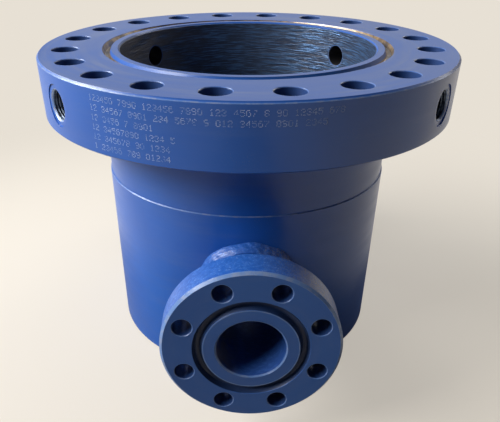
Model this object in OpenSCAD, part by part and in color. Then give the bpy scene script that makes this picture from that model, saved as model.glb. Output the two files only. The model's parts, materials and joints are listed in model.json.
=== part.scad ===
// Casing head for a wellhead: a bolted top flange on a short hub, a bored barrel below it and two
// side outlets, front and rear, each a flange on a neck that is welded to the barrel.
// The frame: millimetres, +Z up along the casing bore, z = 0 at the foot, front outlet towards -Y.

/* [Overall] */
// Height from the foot to the face of the top flange
head_h = 415; // [395:1:470]

/* [Top flange] */
// Outside diameter of the top flange
flange_od = 558.8; // [546:0.1:590]
// Thickness of the top flange
flange_t = 74.6; // [66:0.1:90]
// Chamfer round the upper edge of the rim
flange_edge = 2.5; // [1:0.5:4]
// Chamfer round the lower edge of the rim
flange_back_edge = 1.5; // [0.5:0.5:3]
// Width of the ledge that the hub leaves at the top of the barrel
ledge_w = 1.6; // [1.3:0.1:6]
// Height of the hub, from the ledge on the barrel to the back of the flange
hub_h = 88; // [60:1:110]
// Fillet between the hub and the back of the flange
hub_fillet = 8; // [3:1:12]

/* [Top flange bolting] */
// Number of bolt holes, half a pitch off the front centre line
bolt_n = 20; // [20:2:22]
// Distance from the rim to the bolt circle
bolt_edge = 34.925; // [30:0.005:37]
// Diameter of a bolt hole
bolt_hole_d = 35; // [30:0.5:37]
// Countersunk edge break of a bolt hole
bolt_break = 1; // [0.5:0.25:1.5]

/* [Ring grooves] */
// Distance from the bowl to the middle of the groove in the top flange
groove_land = 17; // [14.5:0.5:19.5]
// Distance from the bolt circle to the middle of the groove in an outlet face
outlet_groove_gap = 22.25; // [20:0.05:25]
// Width of a groove at its mouth
groove_w = 11.9; // [10:0.1:13]
// Depth of a groove
groove_deep = 7.9; // [6:0.1:9]
// Slope of a groove wall from the flange axis
groove_slope = 23; // [15:1:26]
// Corner radius at the floor of a groove
groove_corner = 0.8; // [0.4:0.1:1.2]

/* [Bowl] */
// Wall of the barrel round the bowl that takes the casing hanger
bowl_wall = 29.7; // [27.5:0.1:33]
// Chamfer of the bowl mouth
bowl_lip = 2.5; // [1:0.5:4]
// Depth of the bowl from the top face to the load shoulder
bowl_deep = 200; // [180:1:215]
// Slope of the load shoulder below the horizontal
shoulder_slope = 45; // [30:1:60]
// Width of the load shoulder, from the bowl to the throat below it
shoulder_w = 12.5; // [8.5:0.5:18]

/* [Lock screw ports] */
// Azimuths of the ports from the front, in bolt pitches
port_steps = [3, 7, 13, 17];
// Depth of the port axis below the top face
port_drop = 37.3; // [34:0.1:41]
// Diameter of the spot face on the rim
port_face_d = 49; // [44:0.5:54]
// Depth of the spot face at the crown of the rim
port_face_deep = 1.8; // [1:0.1:3]
// Diameter of the gland thread, at its roots
port_thread_d = 34; // [30:0.5:36]
// Chamfer at the mouth of the gland thread
port_chamfer = 2; // [1:0.5:3]
// Depth of the gland thread from the crown of the rim
port_thread_deep = 46; // [35:1:55]
// Diameter of the hole that the screw nose runs through
port_nose_d = 28.6; // [20:0.1:29]
// Edge break of the nose hole where it enters the bowl
port_nose_break = 1; // [0.5:0.25:1.5]

/* [Barrel] */
// Outside diameter of the barrel, which the hub, the bowl, the throat and the socket follow
barrel_od = 406.4; // [400:0.1:415]
// Chamfer round the ledge at the top of the barrel
ledge_edge = 1; // [0.3:0.1:1.2]
// Chamfer round the foot of the barrel
foot_edge = 3; // [1:0.5:6]

/* [Casing socket] */
// Wall of the barrel round the socket that slips over the casing
socket_wall = 31.7; // [28.5:0.1:34]
// Depth of the socket from the foot to its stop
socket_deep = 88; // [70:1:92]
// Height of the chamfer that leads the casing in
lead_h = 8; // [4:1:12]
// Radial width of the lead-in chamfer
lead_w = 4; // [2:0.5:6]
// Height of the seal groove above the foot
seal_z = 52; // [40:1:58]
// Width of the seal groove
seal_w = 9; // [6:0.5:12]
// Depth of the seal groove
seal_deep = 5.5; // [3:0.5:8]
// Chamfer of the stop where the throat begins
stop_edge = 2; // [1:0.5:4]

/* [Side outlets] */
// Height of the outlet axis above the foot
outlet_z = 149; // [144:1:156]
// Distance from the bore axis to an outlet face
outlet_reach = 332.7; // [318:0.1:350]
// Outside diameter of an outlet flange
outlet_od = 209.5; // [204:0.5:216]
// Thickness of an outlet flange
outlet_t = 39.7; // [34:0.1:46]
// Chamfer round the face of an outlet flange
outlet_edge = 3; // [1:0.5:5]
// Chamfer round the back of an outlet flange
outlet_back_edge = 1.5; // [0.5:0.5:3]
// Diameter of an outlet bore
outlet_bore_d = 80; // [70:1:84]
// Chamfer at the mouth of an outlet bore
outlet_lip = 2; // [1:0.5:3]
// Outside diameter of the outlet neck
neck_od = 117.5; // [112:0.5:122]
// Fillet between the neck and the back of the outlet flange
neck_fillet = 6; // [3:1:9]

/* [Outlet bolting] */
// Number of bolt holes in an outlet flange
outlet_bolt_n = 8; // [4:4:8]
// Distance from the rim of an outlet flange to its bolt circle
outlet_bolt_edge = 20.6; // [17:0.1:22.5]
// Diameter of an outlet bolt hole
outlet_hole_d = 22.4; // [18:0.2:24]
// Countersunk edge break of an outlet bolt hole
outlet_break = 1; // [0.5:0.25:1.5]

/* [Outlet welds] */
// Leg of the weld along the barrel
weld_barrel_leg = 9.5; // [6:0.5:12]
// Leg of the weld along the neck
weld_neck_leg = 14; // [8:0.5:18]
// Rise of the weld crown over the straight line between its toes
weld_crown = 1.6; // [0.6:0.2:2.4]
// Clearance between a weld or neck and what it seats on
seat_gap = 0.3; // [0.2:0.05:0.5]

/* [Hidden] */

// Smoothness of round shapes, and how far a cutter runs past the face that it opens
$fn = 120;
over = 1;

paint_blue = [0.10, 0.20, 0.50];
weld_blue = [0.16, 0.30, 0.62];

// Diameters that follow the barrel
hub_od = barrel_od - 2 * ledge_w;
bowl_d = barrel_od - 2 * bowl_wall;
throat_d = bowl_d - 2 * shoulder_w;
socket_d = barrel_od - 2 * socket_wall;
head_groove_d = bowl_d + 2 * groove_land;

// Diameters that follow the rims of the flanges
bolt_circle = flange_od - 2 * bolt_edge;
outlet_circle = outlet_od - 2 * outlet_bolt_edge;
outlet_groove_d = outlet_circle - 2 * outlet_groove_gap;

// Levels along the bore axis
flange_back_z = head_h - flange_t;
ledge_z = flange_back_z - hub_h;
shoulder_z = head_h - bowl_deep;
port_z = head_h - port_drop;
outlet_back = outlet_reach - outlet_t;
shoulder_drop = shoulder_w * tan(shoulder_slope);

// Azimuths of the two outlets, from the front
FRONT = 0;
REAR = 180;

bolt_pitch = 360 / bolt_n;
weld_stations = 72;
weld_crown_steps = 6;
weld_seat_steps = 3;
fillet_steps = 8;

// Points of a quarter fillet from one tangent point to the other, about centre c
function fillet(c, r, from, to) =
    [for (i = [0:fillet_steps]) let (a = from + (to - from) * i / fillet_steps) c + r * [cos(a), sin(a)]];

// Outline of a ring groove in a face at height z, from its outer mouth to its inner mouth
function groove(pitch_d, z) =
    let (mouth = groove_w / 2, slant = groove_deep * tan(groove_slope), floor_half = mouth - slant,
         r = pitch_d / 2, c = groove_corner)
    [[r + mouth, z],
     [r + floor_half + c * tan(groove_slope), z - groove_deep + c],
     [r + floor_half - c, z - groove_deep],
     [r - floor_half + c, z - groove_deep],
     [r - floor_half - c * tan(groove_slope), z - groove_deep + c],
     [r - mouth, z]];

// Half section of the top flange, with the mouth of the bowl
function top_section() =
    let (r = flange_od / 2, bowl = bowl_d / 2)
    concat(
        [[bowl, flange_back_z], [r - flange_back_edge, flange_back_z],
         [r, flange_back_z + flange_back_edge], [r, head_h - flange_edge], [r - flange_edge, head_h]],
        groove(head_groove_d, head_h),
        [[bowl + bowl_lip, head_h], [bowl, head_h - bowl_lip]]);

// Half section of the hub, which flares into the back of the flange
function hub_section() =
    let (hub = hub_od / 2, bowl = bowl_d / 2)
    concat(
        [[bowl, ledge_z], [hub, ledge_z]],
        fillet([hub + hub_fillet, flange_back_z - hub_fillet], hub_fillet, 180, 90),
        [[bowl, flange_back_z]]);

// Half section of the barrel, with the rest of the bowl, the throat and the casing socket
function barrel_section() =
    let (r = barrel_od / 2, bowl = bowl_d / 2, throat = throat_d / 2, socket = socket_d / 2)
    [[socket + lead_w, 0], [r - foot_edge, 0], [r, foot_edge],
     [r, ledge_z - ledge_edge], [r - ledge_edge, ledge_z], [bowl, ledge_z],
     [bowl, shoulder_z], [throat, shoulder_z - shoulder_drop],
     [throat, socket_deep + stop_edge], [throat + stop_edge, socket_deep], [socket, socket_deep],
     [socket, seal_z + seal_w / 2], [socket + seal_deep, seal_z + seal_w / 2],
     [socket + seal_deep, seal_z - seal_w / 2], [socket, seal_z - seal_w / 2],
     [socket, lead_h]];

// Half section of an outlet flange, with its face up
function outlet_section() =
    let (r = outlet_od / 2, bore = outlet_bore_d / 2)
    concat(
        [[bore, outlet_back], [r - outlet_back_edge, outlet_back], [r, outlet_back + outlet_back_edge],
         [r, outlet_reach - outlet_edge], [r - outlet_edge, outlet_reach]],
        groove(outlet_groove_d, outlet_reach),
        [[bore + outlet_lip, outlet_reach], [bore, outlet_reach - outlet_lip]]);

// Half section of an outlet neck, which starts inside the barrel and flares into its flange
function neck_section() =
    let (neck = neck_od / 2, bore = outlet_bore_d / 2, root = throat_d / 2)
    concat(
        [[bore, root], [neck, root]],
        fillet([neck + neck_fillet, outlet_back - neck_fillet], neck_fillet, 180, 90),
        [[bore, outlet_back]]);

// Distance from the bore axis to the barrel surface, at x off the outlet's middle plane
function barrel_out(x) = sqrt(pow(barrel_od / 2, 2) - x * x);

// One cross section of the outlet weld at angle a round the neck, as [x, y, z] with z along the outlet
function weld_section(a) =
    let (inner = neck_od / 2 + seat_gap,
         toe = neck_od / 2 + weld_barrel_leg,
         low = function(r) barrel_out(r * cos(a)) + seat_gap,
         p = [toe, low(toe)],
         q = [inner, low(inner) + weld_neck_leg],
         run = q - p,
         out = [run[1], -run[0]] / norm(run))
    [for (s = [0:weld_seat_steps]) let (r = inner + (toe - inner) * s / weld_seat_steps)
        [r * cos(a), r * sin(a), low(r)],
     for (s = [1:weld_crown_steps]) let (t = s / weld_crown_steps, c = p + run * t
                                         + out * weld_crown * sin(180 * t))
        [c[0] * cos(a), c[0] * sin(a), c[1]]];

// Puts its children on an outlet axis: local +Z points out of the outlet at that azimuth
module on_outlet(azimuth) {
    rotate([0, 0, azimuth])
        translate([0, 0, outlet_z])
            rotate([90, 0, 0])
                children();
}

// A through hole down the local Z axis with both edges broken, from z0 to z1
module broken_hole(d, z0, z1, edge) {
    translate([0, 0, z0 - over])
        cylinder(d = d, h = z1 - z0 + 2 * over);
    translate([0, 0, z1 - edge])
        cylinder(d1 = d, d2 = d + 2 * (edge + over), h = edge + over);
    translate([0, 0, z0 - over])
        cylinder(d1 = d + 2 * (edge + over), d2 = d, h = edge + over);
}

// A circle of broken holes that straddle the centre lines
module bolt_holes(n, circle_d, d, z0, z1, edge) {
    for (i = [0:n - 1])
        rotate([0, 0, 360 / n * (i + 0.5)])
            translate([circle_d / 2, 0, 0])
                broken_hole(d, z0, z1, edge);
}

// The cutter of one lock screw port, along +Z from the bore axis out through the rim
module port_cutter() {
    rim = flange_od / 2;
    seat = rim - port_face_deep;
    translate([0, 0, seat])
        cylinder(d = port_face_d, h = port_face_deep + over);
    translate([0, 0, rim - port_thread_deep])
        cylinder(d = port_thread_d, h = port_thread_deep + over);
    translate([0, 0, seat - port_chamfer])
        cylinder(d1 = port_thread_d, d2 = port_thread_d + 2 * port_chamfer, h = port_chamfer);
    translate([0, 0, bowl_d / 4])
        cylinder(d = port_nose_d, h = rim - bowl_d / 4 - over);
    nose_run = (port_thread_d - port_nose_d) / 2;
    translate([0, 0, rim - port_thread_deep - nose_run])
        cylinder(d1 = port_nose_d, d2 = port_thread_d, h = nose_run);
    nose_mouth = sqrt(pow(bowl_d / 2, 2) - pow(port_nose_d / 2, 2));
    translate([0, 0, nose_mouth - port_nose_break])
        cylinder(d1 = port_nose_d + 4 * port_nose_break, d2 = port_nose_d, h = 2 * port_nose_break);
}

// Drilled flange of an outlet
module outlet_flange(azimuth) {
    on_outlet(azimuth)
        difference() {
            rotate_extrude()
                polygon(outlet_section());
            bolt_holes(outlet_bolt_n, outlet_circle, outlet_hole_d, outlet_back, outlet_reach, outlet_break);
        }
}

// Neck of an outlet, its inner end saddled to the barrel
module outlet_neck(azimuth) {
    difference() {
        on_outlet(azimuth)
            rotate_extrude()
                polygon(neck_section());
        cylinder(d = barrel_od + 2 * seat_gap, h = ledge_z);
    }
}

// Saddle weld round the foot of an outlet neck
module outlet_weld(azimuth) {
    rings = [for (i = [0:weld_stations - 1]) weld_section(360 / weld_stations * i)];
    m = len(rings[0]);
    on_outlet(azimuth)
        polyhedron(
            points = [for (ring = rings) each ring],
            faces = [for (i = [0:weld_stations - 1], j = [0:m - 1])
                let (a = i * m, b = (i + 1) % weld_stations * m, k = (j + 1) % m)
                [a + j, a + k, b + k, b + j]]);
}

module top_flange() {
    color(paint_blue)
        difference() {
            rotate_extrude()
                polygon(top_section());
            bolt_holes(bolt_n, bolt_circle, bolt_hole_d, flange_back_z, head_h, bolt_break);
            for (step = port_steps)
                rotate([0, 0, step * bolt_pitch])
                    translate([0, 0, port_z])
                        rotate([90, 0, 0])
                            port_cutter();
        }
}

module hub() {
    color(paint_blue)
        rotate_extrude()
            polygon(hub_section());
}

module barrel() {
    color(paint_blue)
        difference() {
            rotate_extrude()
                polygon(barrel_section());
            for (azimuth = [FRONT, REAR])
                on_outlet(azimuth)
                    cylinder(d = outlet_bore_d, h = barrel_od);
        }
}

module front_outlet_flange() {
    color(paint_blue) outlet_flange(FRONT);
}

module front_outlet_neck() {
    color(paint_blue) outlet_neck(FRONT);
}

module front_outlet_weld() {
    color(weld_blue) outlet_weld(FRONT);
}

module rear_outlet_flange() {
    color(paint_blue) outlet_flange(REAR);
}

module rear_outlet_neck() {
    color(paint_blue) outlet_neck(REAR);
}

module rear_outlet_weld() {
    color(weld_blue) outlet_weld(REAR);
}

top_flange();
hub();
barrel();
front_outlet_flange();
front_outlet_neck();
front_outlet_weld();
rear_outlet_flange();
rear_outlet_neck();
rear_outlet_weld();
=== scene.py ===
"""Dresses a wellhead casing head: enamel finishes, welds, gland threads, punched numbers and the studio."""
from __future__ import annotations

import json
import logging
import math
from dataclasses import dataclass
from enum import Enum
from typing import Any, Optional, Union

import bpy
import numpy as np
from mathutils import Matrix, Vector


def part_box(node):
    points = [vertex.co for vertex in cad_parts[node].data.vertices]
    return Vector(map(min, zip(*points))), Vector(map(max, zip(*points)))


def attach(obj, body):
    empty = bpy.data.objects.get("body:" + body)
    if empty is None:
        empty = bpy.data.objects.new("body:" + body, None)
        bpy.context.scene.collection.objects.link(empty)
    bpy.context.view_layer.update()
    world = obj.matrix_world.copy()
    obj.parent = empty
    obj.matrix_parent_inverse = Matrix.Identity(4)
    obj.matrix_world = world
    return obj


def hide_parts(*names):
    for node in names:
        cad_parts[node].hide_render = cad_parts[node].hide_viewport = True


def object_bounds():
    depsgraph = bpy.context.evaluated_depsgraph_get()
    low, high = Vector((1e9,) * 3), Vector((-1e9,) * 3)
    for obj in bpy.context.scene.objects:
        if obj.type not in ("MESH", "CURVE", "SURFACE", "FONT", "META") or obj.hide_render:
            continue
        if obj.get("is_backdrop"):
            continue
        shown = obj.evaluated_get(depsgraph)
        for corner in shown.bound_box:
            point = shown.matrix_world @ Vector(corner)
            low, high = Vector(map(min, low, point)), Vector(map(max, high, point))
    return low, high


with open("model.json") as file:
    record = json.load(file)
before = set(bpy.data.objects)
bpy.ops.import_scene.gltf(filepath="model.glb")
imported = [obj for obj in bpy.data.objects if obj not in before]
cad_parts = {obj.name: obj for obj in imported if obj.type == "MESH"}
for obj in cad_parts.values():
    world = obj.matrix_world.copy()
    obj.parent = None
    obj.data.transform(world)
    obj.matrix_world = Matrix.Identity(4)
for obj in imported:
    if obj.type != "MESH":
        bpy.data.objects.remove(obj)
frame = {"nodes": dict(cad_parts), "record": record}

LOG = logging.getLogger("casing_head")

Colour = tuple[float, float, float]
Place = tuple[float, float, float]
Window = tuple[float, float]
Number = Union["Shade", float, int]
Points = np.ndarray

# Where the soft step from one finish to the next starts and ends past an edge, in metres
SEAM: Window = (0.0001, 0.0006)
# Half the width of the soft sides of a band, in metres
BAND_SOFT = 0.0003
# How far below a face its own finish reaches, and how far past a groove's floor the groove's, in metres
FACE_SKIN = 0.0002
GROOVE_MARGIN = 0.0012
# Roughness of the clear top film, and index of refraction of what it covers
COAT_ROUGH = 0.12
ENAMEL_INDEX = 1.5
# Places of the Mix node's colours, whose names its other types of data share
MIX_START, MIX_END, MIX_RESULT = 6, 7, 2
# Decimals of a metre that the frame's meshes hold
BOX_DECIMALS = 7


class Side(Enum):
    """The two side outlets, with the sign of the outward direction along Y."""

    FRONT = -1.0
    REAR = 1.0


@dataclass(frozen=True)
class TurningAxis:
    """The axis a forging was turned on, which its machining marks and zones follow.

    Attributes:
        upright: True for the casing bore, False for an outlet.
        height: Height of an outlet's axis above the foot, in metres.
        outward: Sign of an outlet's outward direction along Y.
    """

    upright: bool = True
    height: float = 0.0
    outward: float = 1.0


def mount(name: str) -> dict[str, Any]:
    """The mount of that name in the frame's record, whose dims are in millimetres."""
    return next(entry for entry in frame["record"]["mounts"] if entry["name"] == name)


def bore_radius(name: str) -> float:
    """Radius in metres of the bore or thread that a mount states."""
    return mount(name)["dims"]["r_mm"] / 1000.0


@dataclass(frozen=True)
class BoltCircle:
    """A flange's bolt holes, evenly round its axis and half a pitch off its centre line.

    Attributes:
        count: Number of holes.
        circle_r: Radius of the circle that they stand on, in metres.
        hole_r: Radius of one hole.
    """

    count: int
    circle_r: float
    hole_r: float

    @classmethod
    def of_mount(cls, name: str) -> "BoltCircle":
        """The bolt holes that a mount of the frame's record states."""
        dims = mount(name)["dims"]
        return cls(dims["count"], dims["pcd_mm"] / 2000.0, dims["hole_r_mm"] / 1000.0)


@dataclass(frozen=True)
class Proportions:
    """Real sizes of the head in metres: the first ones from the frame, the others as in the part's source."""

    head_h: float
    rim_r: float
    flange_t: float
    hub_h: float
    bowl_r: float
    port_drop: float
    port_thread_r: float
    outlet_z: float
    outlet_reach: float
    outlet_r: float
    outlet_bore_r: float
    top_bolts: BoltCircle
    outlet_bolts: BoltCircle
    flange_edge: float = 0.0025
    groove_r: float = 0.1905
    groove_w: float = 0.0119
    groove_deep: float = 0.0079
    port_steps: tuple[int, ...] = (3, 7, 13, 17)
    port_thread_deep: float = 0.046
    port_nose_r: float = 0.0143
    port_face_deep: float = 0.0018
    port_chamfer: float = 0.002
    barrel_r: float = 0.2032
    ledge_edge: float = 0.001
    outlet_edge: float = 0.003
    outlet_groove_r: float = 0.0619
    neck_r: float = 0.05875
    weld_barrel_leg: float = 0.0095
    weld_neck_leg: float = 0.014
    weld_crown: float = 0.0016
    seat_gap: float = 0.0003

    @classmethod
    def of_frame(cls) -> "Proportions":
        """Reads what the boxes of the nodes and the mounts of the record give.

        A flange touches its box on the axes, so its far corner gives its radius, and lengths along an axis
        are differences of corners. The meshes' rounding is taken off.

        Returns:
            The sizes.
        """
        (_, _, flange_low), (rim_r, _, head_h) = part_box("top_flange")
        ledge_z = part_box("barrel")[1][2]
        (_, _, outlet_low), (outlet_r, outlet_reach, _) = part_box("rear_outlet_flange")
        sizes = {
            "head_h": head_h, "rim_r": rim_r, "flange_t": head_h - flange_low, "hub_h": flange_low - ledge_z,
            "bowl_r": bore_radius("casing_bowl"),
            "port_drop": head_h - mount("front_right_lock_port")["pos_m"][2],
            "port_thread_r": bore_radius("front_right_lock_port"), "outlet_z": outlet_low + outlet_r,
            "outlet_reach": outlet_reach, "outlet_r": outlet_r,
            "outlet_bore_r": bore_radius("rear_outlet_bore")}
        top, outlet = BoltCircle.of_mount("top_bolts"), BoltCircle.of_mount("rear_outlet_bolts")
        return cls(top_bolts=top, outlet_bolts=outlet,
                   **{name: round(float(size), BOX_DECIMALS) for name, size in sizes.items()})

    @property
    def bolt_pitch(self) -> float:
        """Angle from one bolt hole of the top flange to the next, in degrees."""
        return 360.0 / self.top_bolts.count


HEAD = Proportions.of_frame()
BORE_AXIS = TurningAxis()
OUTLET_AXES = {side: TurningAxis(False, HEAD.outlet_z, side.value) for side in Side}


class Shade:
    """A value in a shader: wraps a node's output socket, so that Python's operators add Math nodes."""

    def __init__(self, graph: "Graph", socket: bpy.types.NodeSocket) -> None:
        """Keeps the graph and the socket.

        Args:
            graph: The material's graph that new nodes go into.
            socket: The output socket that carries the value.
        """
        self.graph = graph
        self.socket = socket

    def __add__(self, other: Number) -> "Shade":
        """Self plus other."""
        return self.graph.math("ADD", self, other)

    def __radd__(self, other: Number) -> "Shade":
        """Other plus self."""
        return self.graph.math("ADD", other, self)

    def __sub__(self, other: Number) -> "Shade":
        """Self minus other."""
        return self.graph.math("SUBTRACT", self, other)

    def __rsub__(self, other: Number) -> "Shade":
        """Other minus self."""
        return self.graph.math("SUBTRACT", other, self)

    def __mul__(self, other: Number) -> "Shade":
        """Self times other."""
        return self.graph.math("MULTIPLY", self, other)

    def __rmul__(self, other: Number) -> "Shade":
        """Other times self."""
        return self.graph.math("MULTIPLY", other, self)

    def __truediv__(self, other: Number) -> "Shade":
        """Self over other."""
        return self.graph.math("DIVIDE", self, other)

    def __rtruediv__(self, other: Number) -> "Shade":
        """Other over self."""
        return self.graph.math("DIVIDE", other, self)

    def __abs__(self) -> "Shade":
        """Self without its sign."""
        return self.graph.math("ABSOLUTE", self)

    def other(self, output: str) -> "Shade":
        """Another output of the node that made this value."""
        return Shade(self.graph, self.socket.node.outputs[output])

    def rise(self, low: float, high: float) -> "Shade":
        """A smooth step of this value: 0 below low, 1 above high.

        Args:
            low: Where the step starts.
            high: Where the step ends.

        Returns:
            The step, from 0 to 1.
        """
        return self.graph.node("ShaderNodeMapRange", {"interpolation_type": "SMOOTHSTEP"},
                               {"Value": self, "From Min": low, "From Max": high})

    def past(self, edge: float) -> "Shade":
        """1 where this value lies past an edge, after the step of a seam."""
        return self.rise(edge + SEAM[0], edge + SEAM[1])

    def band(self, low: float, high: float) -> "Shade":
        """1 where this value lies between low and high, with soft sides.

        Args:
            low: Lower end of the band.
            high: Upper end of the band.

        Returns:
            The mask, from 0 to 1.
        """
        return (self.rise(low - BAND_SOFT, low + BAND_SOFT)
                * (1 - self.rise(high - BAND_SOFT, high + BAND_SOFT)))


class Graph:
    """The node graph of a material or the world, with one method that adds nodes."""

    def __init__(self, owner: Union[bpy.types.Material, bpy.types.World]) -> None:
        """Takes over the owner's nodes and empties them.

        Args:
            owner: The material or the world that the nodes belong to.
        """
        owner.use_nodes = True
        self.owner = owner
        self.tree = owner.node_tree
        self.tree.nodes.clear()

    def node(self, kind: str, settings: dict[str, Any], inputs: dict[Union[str, int], Any],
             output: Union[str, int, None] = 0) -> Optional[Shade]:
        """Adds one node.

        Args:
            kind: The node's type.
            settings: Its properties, set first.
            inputs: Values or links of its sockets, by name or index.
            output: Name or index of the output that is wanted, or None for a node that has none.

        Returns:
            That output, if one is wanted.
        """
        made = self.tree.nodes.new(kind)
        for key, value in settings.items():
            setattr(made, key, value)
        for key, value in inputs.items():
            if isinstance(value, Shade):
                self.tree.links.new(value.socket, made.inputs[key])
            else:
                made.inputs[key].default_value = value
        return None if output is None else Shade(self, made.outputs[output])

    def math(self, operation: str, first: Number, second: Number = 0.0) -> Shade:
        """One Math node.

        Args:
            operation: The node's operation.
            first: First value.
            second: Second value.

        Returns:
            The result.
        """
        return self.node("ShaderNodeMath", {"operation": operation}, {0: first, 1: second})

    def largest(self, first: Number, second: Number) -> Shade:
        """The larger of two values."""
        return self.math("MAXIMUM", first, second)

    def blend(self, amount: Number, start: Any, end: Any) -> Shade:
        """Mixes two colours.

        Args:
            amount: 0 gives start, 1 gives end.
            start: First colour, or a link.
            end: Second colour, or a link.

        Returns:
            The mixed colour.
        """
        def colour(value: Any) -> Any:
            """A colour with its alpha, or the link itself."""
            return value if isinstance(value, Shade) else (*value, 1.0)

        return self.node("ShaderNodeMix", {"data_type": "RGBA"},
                         {0: amount, MIX_START: colour(start), MIX_END: colour(end)}, output=MIX_RESULT)

    def vector(self, x: Number, y: Number, z: Number) -> Shade:
        """A vector from three values."""
        return self.node("ShaderNodeCombineXYZ", {}, {0: x, 1: y, 2: z})

    def ray_kinds(self) -> tuple[Shade, Shade]:
        """1 on what the camera sees directly, and 1 on what gloss mirrors or glass lets through."""
        path = self.node("ShaderNodeLightPath", {}, {}, output="Is Camera Ray")
        return path, self.largest(path.other("Is Glossy Ray"), path.other("Is Transmission Ray"))

    def background(self, colour: Any, strength: float) -> Shade:
        """A Background shader of a world."""
        return self.node("ShaderNodeBackground", {}, {"Color": colour, "Strength": strength})

    def principled(self, inputs: dict[Union[str, int], Any]) -> bpy.types.Material:
        """Closes the graph with a Principled shader.

        Args:
            inputs: Its sockets' values or links.

        Returns:
            The finished material.
        """
        shader = self.node("ShaderNodeBsdfPrincipled", {}, inputs)
        self.node("ShaderNodeOutputMaterial", {}, {"Surface": shader}, output=None)
        return self.owner


@dataclass(frozen=True)
class Grain:
    """The noise that one feature of a finish follows.

    Attributes:
        scale: Lumps per metre, or marks per metre along the profile where they are drawn out.
        detail: Octaves.
        rough: Weight of the finer octaves.
        spread: Lumps per radian round the axis, small for long marks; 0 for lumps that aren't drawn out.
    """

    scale: float
    detail: float = 3.0
    rough: float = 0.5
    spread: float = 0.0


class TurnedGraph(Graph):
    """A graph with the coordinates of a turned forging: radius, level along the axis, and azimuth."""

    def __init__(self, name: str, axis: TurningAxis) -> None:
        """Adds the coordinate nodes.

        The radius is the root of the squared distances across the axis, the level runs along it, and the
        profile coordinate is their sum, which grows along both a flat face and a cylinder wall.

        Args:
            name: The material's name.
            axis: The axis that the piece was turned on.
        """
        super().__init__(bpy.data.materials.new(name))
        self.place = self.node("ShaderNodeTexCoord", {}, {}, output="Object")
        split = self.node("ShaderNodeSeparateXYZ", {}, {0: self.place})
        x, y, z = split, split.other("Y"), split.other("Z")
        across, up = (x, y) if axis.upright else (x, z - axis.height)
        self.level = z if axis.upright else y * axis.outward
        self.radius = self.length(across, up)
        self.azimuth = self.math("ARCTAN2", up, across)
        self.cosine = across / self.radius
        self.sine = up / self.radius
        self.profile = self.radius + self.level

    def length(self, first: Shade, second: Shade) -> Shade:
        """The root of the sum of two squares."""
        return self.math("SQRT", first * first + second * second)

    def grain(self, grain: Grain) -> Shade:
        """A finish's noise, even in all directions or drawn out round the axis like a turning tool's marks.

        Args:
            grain: Its size and detail.

        Returns:
            The noise, from 0 to 1.
        """
        where, scale = self.place, grain.scale
        if grain.spread:
            where, scale = self.vector(self.profile * grain.scale, self.cosine * grain.spread,
                                       self.sine * grain.spread), 1.0
        return self.node("ShaderNodeTexNoise", {"noise_dimensions": "3D"},
                         {"Vector": where, "Scale": scale, "Detail": grain.detail, "Roughness": grain.rough})

    def hole_distance(self, bolts: BoltCircle) -> Shade:
        """Distance from the axis of the nearest bolt hole.

        The azimuth is folded into one pitch about the hole, half a pitch off the centre line, and the
        distance is measured in the flat of the face.

        Args:
            bolts: The flange's bolt holes.

        Returns:
            The distance in metres.
        """
        pitch = 2.0 * math.pi / bolts.count
        turn = self.math("FLOORED_MODULO", self.azimuth / pitch, 1.0)
        off = (turn - 0.5) * pitch
        side = self.radius * self.math("SINE", off)
        out = self.radius * self.math("COSINE", off) - bolts.circle_r
        return self.length(side, out)

    def port_distance(self) -> Shade:
        """Distance from the axis of the nearest lock screw port.

        The four ports mirror each other in both middle planes, so the sizes of x and y fold them into one.
        The distance joins the offset across that port's axis with the offset from its level.

        Returns:
            The distance in metres.
        """
        angle = math.radians(HEAD.port_steps[0] * HEAD.bolt_pitch)
        split = self.node("ShaderNodeSeparateXYZ", {}, {0: self.place})
        aside = abs(split) * math.cos(angle) - abs(split.other("Y")) * math.sin(angle)
        above = split.other("Z") - (HEAD.head_h - HEAD.port_drop)
        return self.length(aside, above)

    def groove_mask(self, groove_r: float, depth: Shade, inner_share: float = 1.0) -> Shade:
        """Where a ring groove lies: a band of radius, between the face and a level just past the floor.

        Args:
            groove_r: Radius of the groove's middle, in metres.
            depth: Distance below the face.
            inner_share: Share of the inner half that is taken in.

        Returns:
            The mask.
        """
        half = HEAD.groove_w / 2.0
        across = self.radius.band(groove_r - half * inner_share, groove_r + half)
        return across * depth.past(FACE_SKIN) * (1 - depth.past(HEAD.groove_deep + GROOVE_MARGIN))

    def corner_mask(self, radius: float, level: float, edge: float) -> Shade:
        """Where a chamfered corner lies: the distances inwards from its radius and level sum to its size.

        Args:
            radius: Radius outside the chamfer, in metres.
            level: Level above it.
            edge: Size of the chamfer.

        Returns:
            The mask.
        """
        inwards = (radius - self.radius) + (level - self.level)
        return 1 - inwards.past(edge)


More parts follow.
